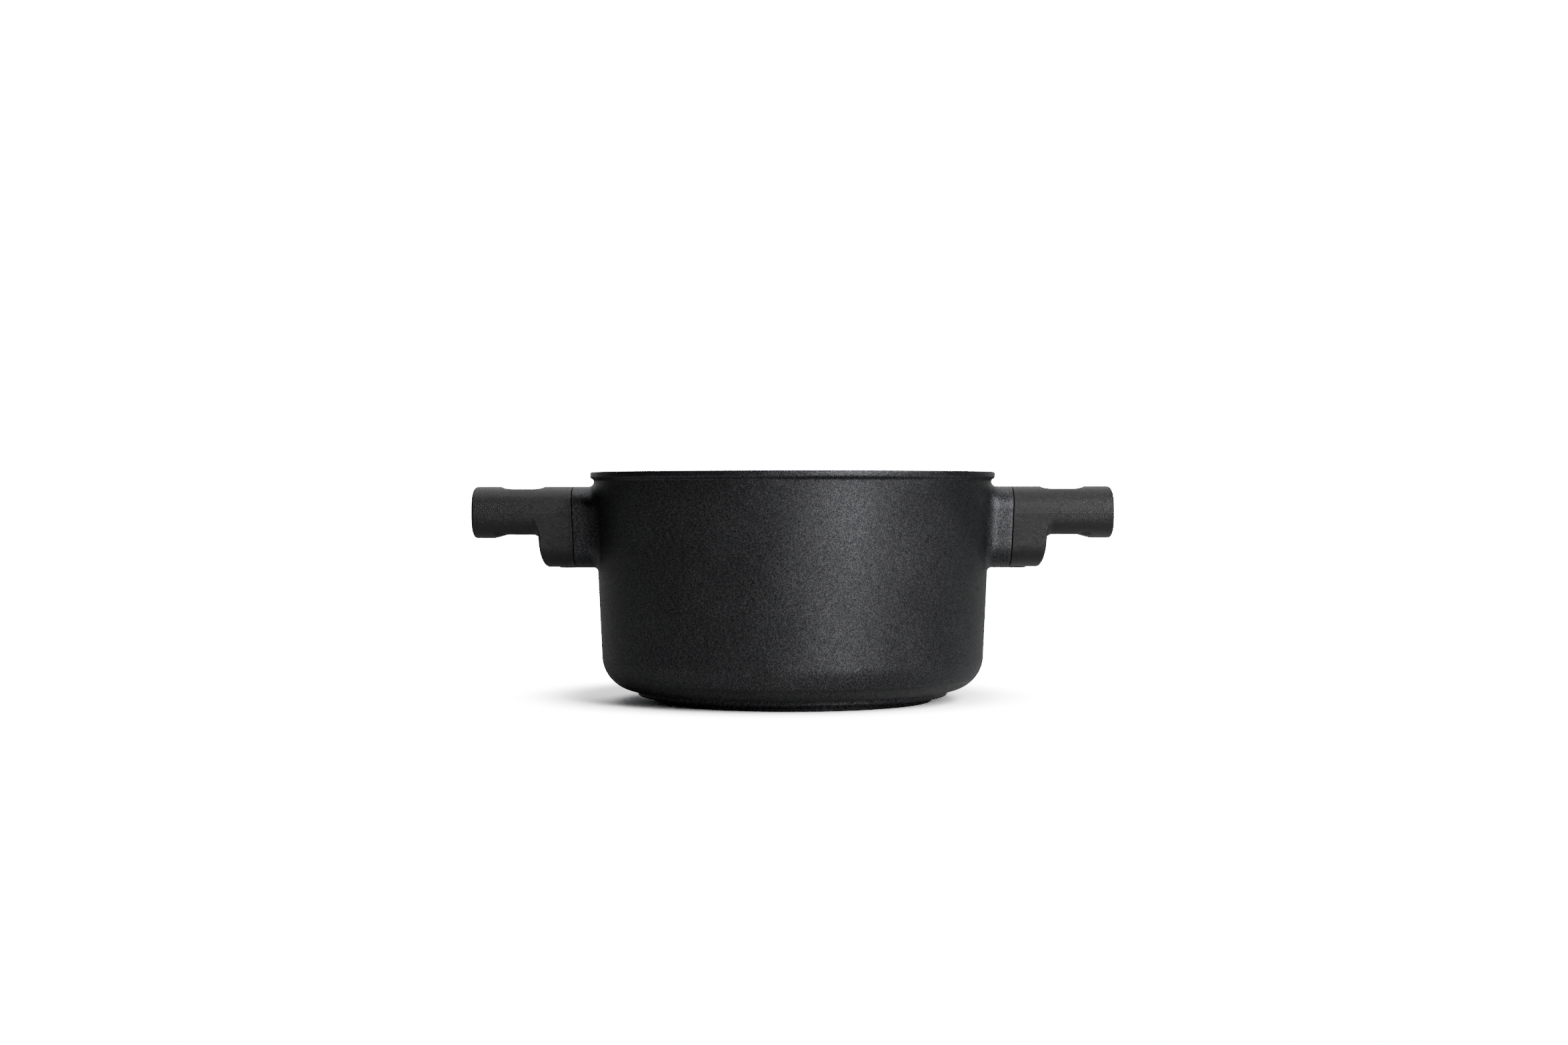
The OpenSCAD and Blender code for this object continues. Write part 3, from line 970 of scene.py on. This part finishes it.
class CASSEROLE_OT_stage(bpy.types.Operator):
    """Adds the floor, the soft studio light and the camera"""

    bl_idname = "casserole.stage"
    bl_label = "Stage"

    def execute(self, context):
        stage = context.scene.casserole_stage
        deselect()
        bpy.ops.mesh.primitive_plane_add(size=12.0)
        floor = added("floor")
        made, sheet = new_material("floor paint")
        seen = sheet.node("ShaderNodeLightPath").outputs["Is Camera Ray"]
        tone = sheet.mix(seen, tuple(stage.floor_colour), (stage.floor_gain,) * 3)
        paper = sheet.node("ShaderNodeBsdfDiffuse", {"Color": tone})
        blank = sheet.node("ShaderNodeEmission", {"Strength": stage.white_level})
        away = sheet.node(
            "ShaderNodeVectorMath", {0: sheet.place(), 1: (-0.01, 0.03, 0.0)}, operation="DISTANCE"
        ).outputs["Value"]
        # Beyond the pot's contact shadow the floor fades to plain white for the camera
        shadow_radius, white_radius = 0.09, 0.15
        fade = sheet.maths("POWER", sheet.remap(away, shadow_radius, white_radius), 2.0)
        fade = sheet.maths("MULTIPLY", fade, seen)
        surface = sheet.node("ShaderNodeMixShader", {0: fade, 1: paper.outputs[0], 2: blank.outputs[0]})
        sheet.node("ShaderNodeOutputMaterial", {"Surface": surface.outputs[0]})
        wear(floor, made)
        self.light(context)
        self.camera(context, stage)
        return {"FINISHED"}

    def light(self, context):
        stage = context.scene.casserole_stage
        world = bpy.data.worlds.new("studio")
        context.scene.world = world
        world.use_nodes = True
        sheet = Sheet(world.node_tree)
        where = sheet.node("ShaderNodeTexCoord").outputs["Generated"]
        parts = sheet.node("ShaderNodeSeparateXYZ", {"Vector": where})
        behind = sheet.remap(parts.outputs["Y"], 0.3, 0.7, stage.fill_level, stage.back_level)
        edge_glow = sheet.remap(parts.outputs["Y"], 0.7, 0.95, 0.0, stage.edge_level)
        behind = sheet.maths("ADD", behind, edge_glow)
        seen = sheet.node("ShaderNodeLightPath").outputs["Is Camera Ray"]
        level = sheet.maths("ADD", behind, sheet.maths("MULTIPLY", seen, stage.white_level))
        back = sheet.node("ShaderNodeBackground", {"Color": (1.0, 1.0, 1.0, 1.0), "Strength": level})
        sheet.node("ShaderNodeOutputWorld", {"Surface": back.outputs[0]})
        middle = Vector((0.0, 0.0, POT_HIGH.z / 2))
        for name, place, size, power in (
            ("key light", (0.57, -0.94, 0.51), (0.35, 0.85), stage.key_power),
            ("side light", (0.74, -0.42, 0.91), (0.35, 0.35), stage.side_power),
            ("top light", (-0.15, 0.6, 1.3), (1.3, 1.1), stage.top_power),
        ):
            lamp = bpy.data.lights.new(name, "AREA")
            lamp.shape = "RECTANGLE"
            lamp.size, lamp.size_y = size
            lamp.energy = power
            item = bpy.data.objects.new(name, lamp)
            item.location = place
            item.rotation_euler = (middle - item.location).to_track_quat("-Z", "Y").to_euler()
            context.collection.objects.link(item)

    def camera(self, context, stage):
        data = bpy.data.cameras.new("camera")
        data.lens = stage.lens
        data.sensor_width = 36.0
        eye = bpy.data.objects.new("camera", data)
        eye.location = (0.0, -stage.camera_distance, stage.camera_height)
        eye.rotation_euler = (math.pi / 2 - stage.camera_dip, stage.camera_roll, stage.camera_turn)
        context.collection.objects.link(eye)
        context.scene.camera = eye


class CASSEROLE_OT_pot(bpy.types.Operator):
    """Builds the cast pot with its rim, foot, lugs and coating"""

    bl_idname = "casserole.pot"
    bl_label = "Pot"

    def execute(self, context):
        scene = context.scene
        pot, lug, handle, finish = (
            scene.casserole_pot,
            scene.casserole_lug,
            scene.casserole_handle,
            scene.casserole_finish,
        )
        piece = turned_pot(pot)
        add_studs(piece, pot)
        add_lugs(piece, pot, lug, handle)
        take(piece)
        bpy.ops.object.shade_smooth_by_angle(angle=math.radians(32))
        outside = coating_material(
            "outside coating", finish.coating, finish.fleck, finish.cast_grain, 0.9, 0.08 * MM, 0.41
        )
        lining = coating_material(
            "lining", finish.lining, finish.lining_fleck, finish.cast_grain, 0.8, 0.03 * MM, 0.32
        )
        bare = turned_material("turned alloy", finish.bare_alloy, finish.turning_pitch, 0.28)
        paint_pot(piece, pot, outside, lining, bare)
        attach(piece, "root")
        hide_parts("pot_body")
        return {"FINISHED"}


class CASSEROLE_OT_handles(bpy.types.Operator):
    """Builds the two moulded handles"""

    bl_idname = "casserole.handles"
    bl_label = "Handles"

    def execute(self, context):
        scene = context.scene
        pot, lug, handle = scene.casserole_pot, scene.casserole_lug, scene.casserole_handle
        right = rough_handle(pot, lug, handle)
        normals = settle(right, lambda points: handle_distance(pot, lug, handle, points))
        left = mirrored_copy(right, "left_grip")
        smooth_with(right, normals)
        smooth_with(left, normals * np.array((-1.0, 1.0, 1.0)))
        line_height = lug.top - handle.grip_height / 2 - 0.4 * MM
        made = phenolic_material(scene.casserole_finish, line_height)
        for piece, node in ((right, "right_handle"), (left, "left_handle")):
            wear(piece, made)
            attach(piece, "root")
            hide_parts(node)
        return {"FINISHED"}


class CASSEROLE_OT_screws(bpy.types.Operator):
    """Builds the handle screws with their cross recesses"""

    bl_idname = "casserole.screws"
    bl_label = "Screws"

    def execute(self, context):
        finish = context.scene.casserole_finish
        head_radius = SCREW_HIGH.y
        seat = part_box("right_lock_washer")[0].z
        shank_radius = 2.0 * MM
        screw_x = (SCREW_LOW.x + SCREW_HIGH.x) / 2
        piece = disc("right_handle_screw", head_radius, SCREW_LOW.z, seat, (screw_x, 0.0))
        editing(piece, "EDGE")
        bpy.ops.mesh.select_all(action="DESELECT")
        bpy.ops.mesh.select_mode(type="FACE")
        pick_faces(lambda centre, normal: normal.z < -0.99)
        bevel(0.45 * MM, 4)
        done_editing()
        combine(piece, disc("shank", shank_radius, seat - 0.5 * MM, SCREW_HIGH.z, (screw_x, 0.0)), "UNION")
        for across in (True, False):
            reach = 2.1 * MM
            wide, thin = (reach, 0.5 * MM) if across else (0.5 * MM, reach)
            slot = box(
                "recess",
                (screw_x - wide, -thin, SCREW_LOW.z - 1 * MM),
                (screw_x + wide, thin, SCREW_LOW.z + 1.4 * MM),
            )
            combine(piece, slot, "DIFFERENCE")
        take(piece)
        bpy.ops.object.shade_smooth_by_angle(angle=math.radians(35))
        left = mirrored_copy(piece, "left_handle_screw")
        made = screw_material(finish)
        for item, node in ((piece, "right_screw"), (left, "left_screw")):
            wear(item, made)
            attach(item, "root")
            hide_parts(node)
        for side in ("right", "left"):
            for kind in ("lock_washer", "thread_insert"):
                wear(frame["nodes"][f"{side}_{kind}"], made)
        return {"FINISHED"}


class CASSEROLE_OT_base_plate(bpy.types.Operator):
    """Gives the perforated base plate its turned steel finish"""

    bl_idname = "casserole.base_plate"
    bl_label = "Base plate"

    def execute(self, context):
        finish = context.scene.casserole_finish
        made = turned_material("turned steel", finish.plate_steel, finish.turning_pitch, 0.33)
        wear(frame["nodes"]["induction_plate"], made)
        return {"FINISHED"}


class CASSEROLE_PT_panel(bpy.types.Panel):
    """Lists the steps that build the casserole, and its sizes"""

    bl_idname = "CASSEROLE_PT_panel"
    bl_label = "Casserole"
    bl_space_type = "VIEW_3D"
    bl_region_type = "UI"
    bl_category = "Casserole"

    def draw(self, context):
        for operator in OPERATORS:
            self.layout.operator(operator.bl_idname)
        for name in GROUPS:
            column = self.layout.column()
            settings = getattr(context.scene, name)
            for prop in settings.bl_rna.properties:
                if prop.identifier not in ("rna_type", "name"):
                    column.prop(settings, prop.identifier)


OPERATORS = (
    CASSEROLE_OT_stage,
    CASSEROLE_OT_pot,
    CASSEROLE_OT_base_plate,
    CASSEROLE_OT_handles,
    CASSEROLE_OT_screws,
)
GROUPS = {
    "casserole_pot": CASSEROLE_PG_pot,
    "casserole_lug": CASSEROLE_PG_lug,
    "casserole_handle": CASSEROLE_PG_handle,
    "casserole_finish": CASSEROLE_PG_finish,
    "casserole_stage": CASSEROLE_PG_stage,
}


def register():
    for kind in (*GROUPS.values(), *OPERATORS, CASSEROLE_PT_panel):
        bpy.utils.register_class(kind)
    for name, kind in GROUPS.items():
        setattr(bpy.types.Scene, name, PointerProperty(type=kind))


def unregister():
    for name in GROUPS:
        delattr(bpy.types.Scene, name)
    for kind in reversed((*GROUPS.values(), *OPERATORS, CASSEROLE_PT_panel)):
        bpy.utils.unregister_class(kind)


def main():
    register()
    bpy.ops.casserole.stage()
    bpy.ops.casserole.pot()
    bpy.ops.casserole.base_plate()
    bpy.ops.casserole.handles()
    bpy.ops.casserole.screws()


if __name__ == "__main__":
    main()
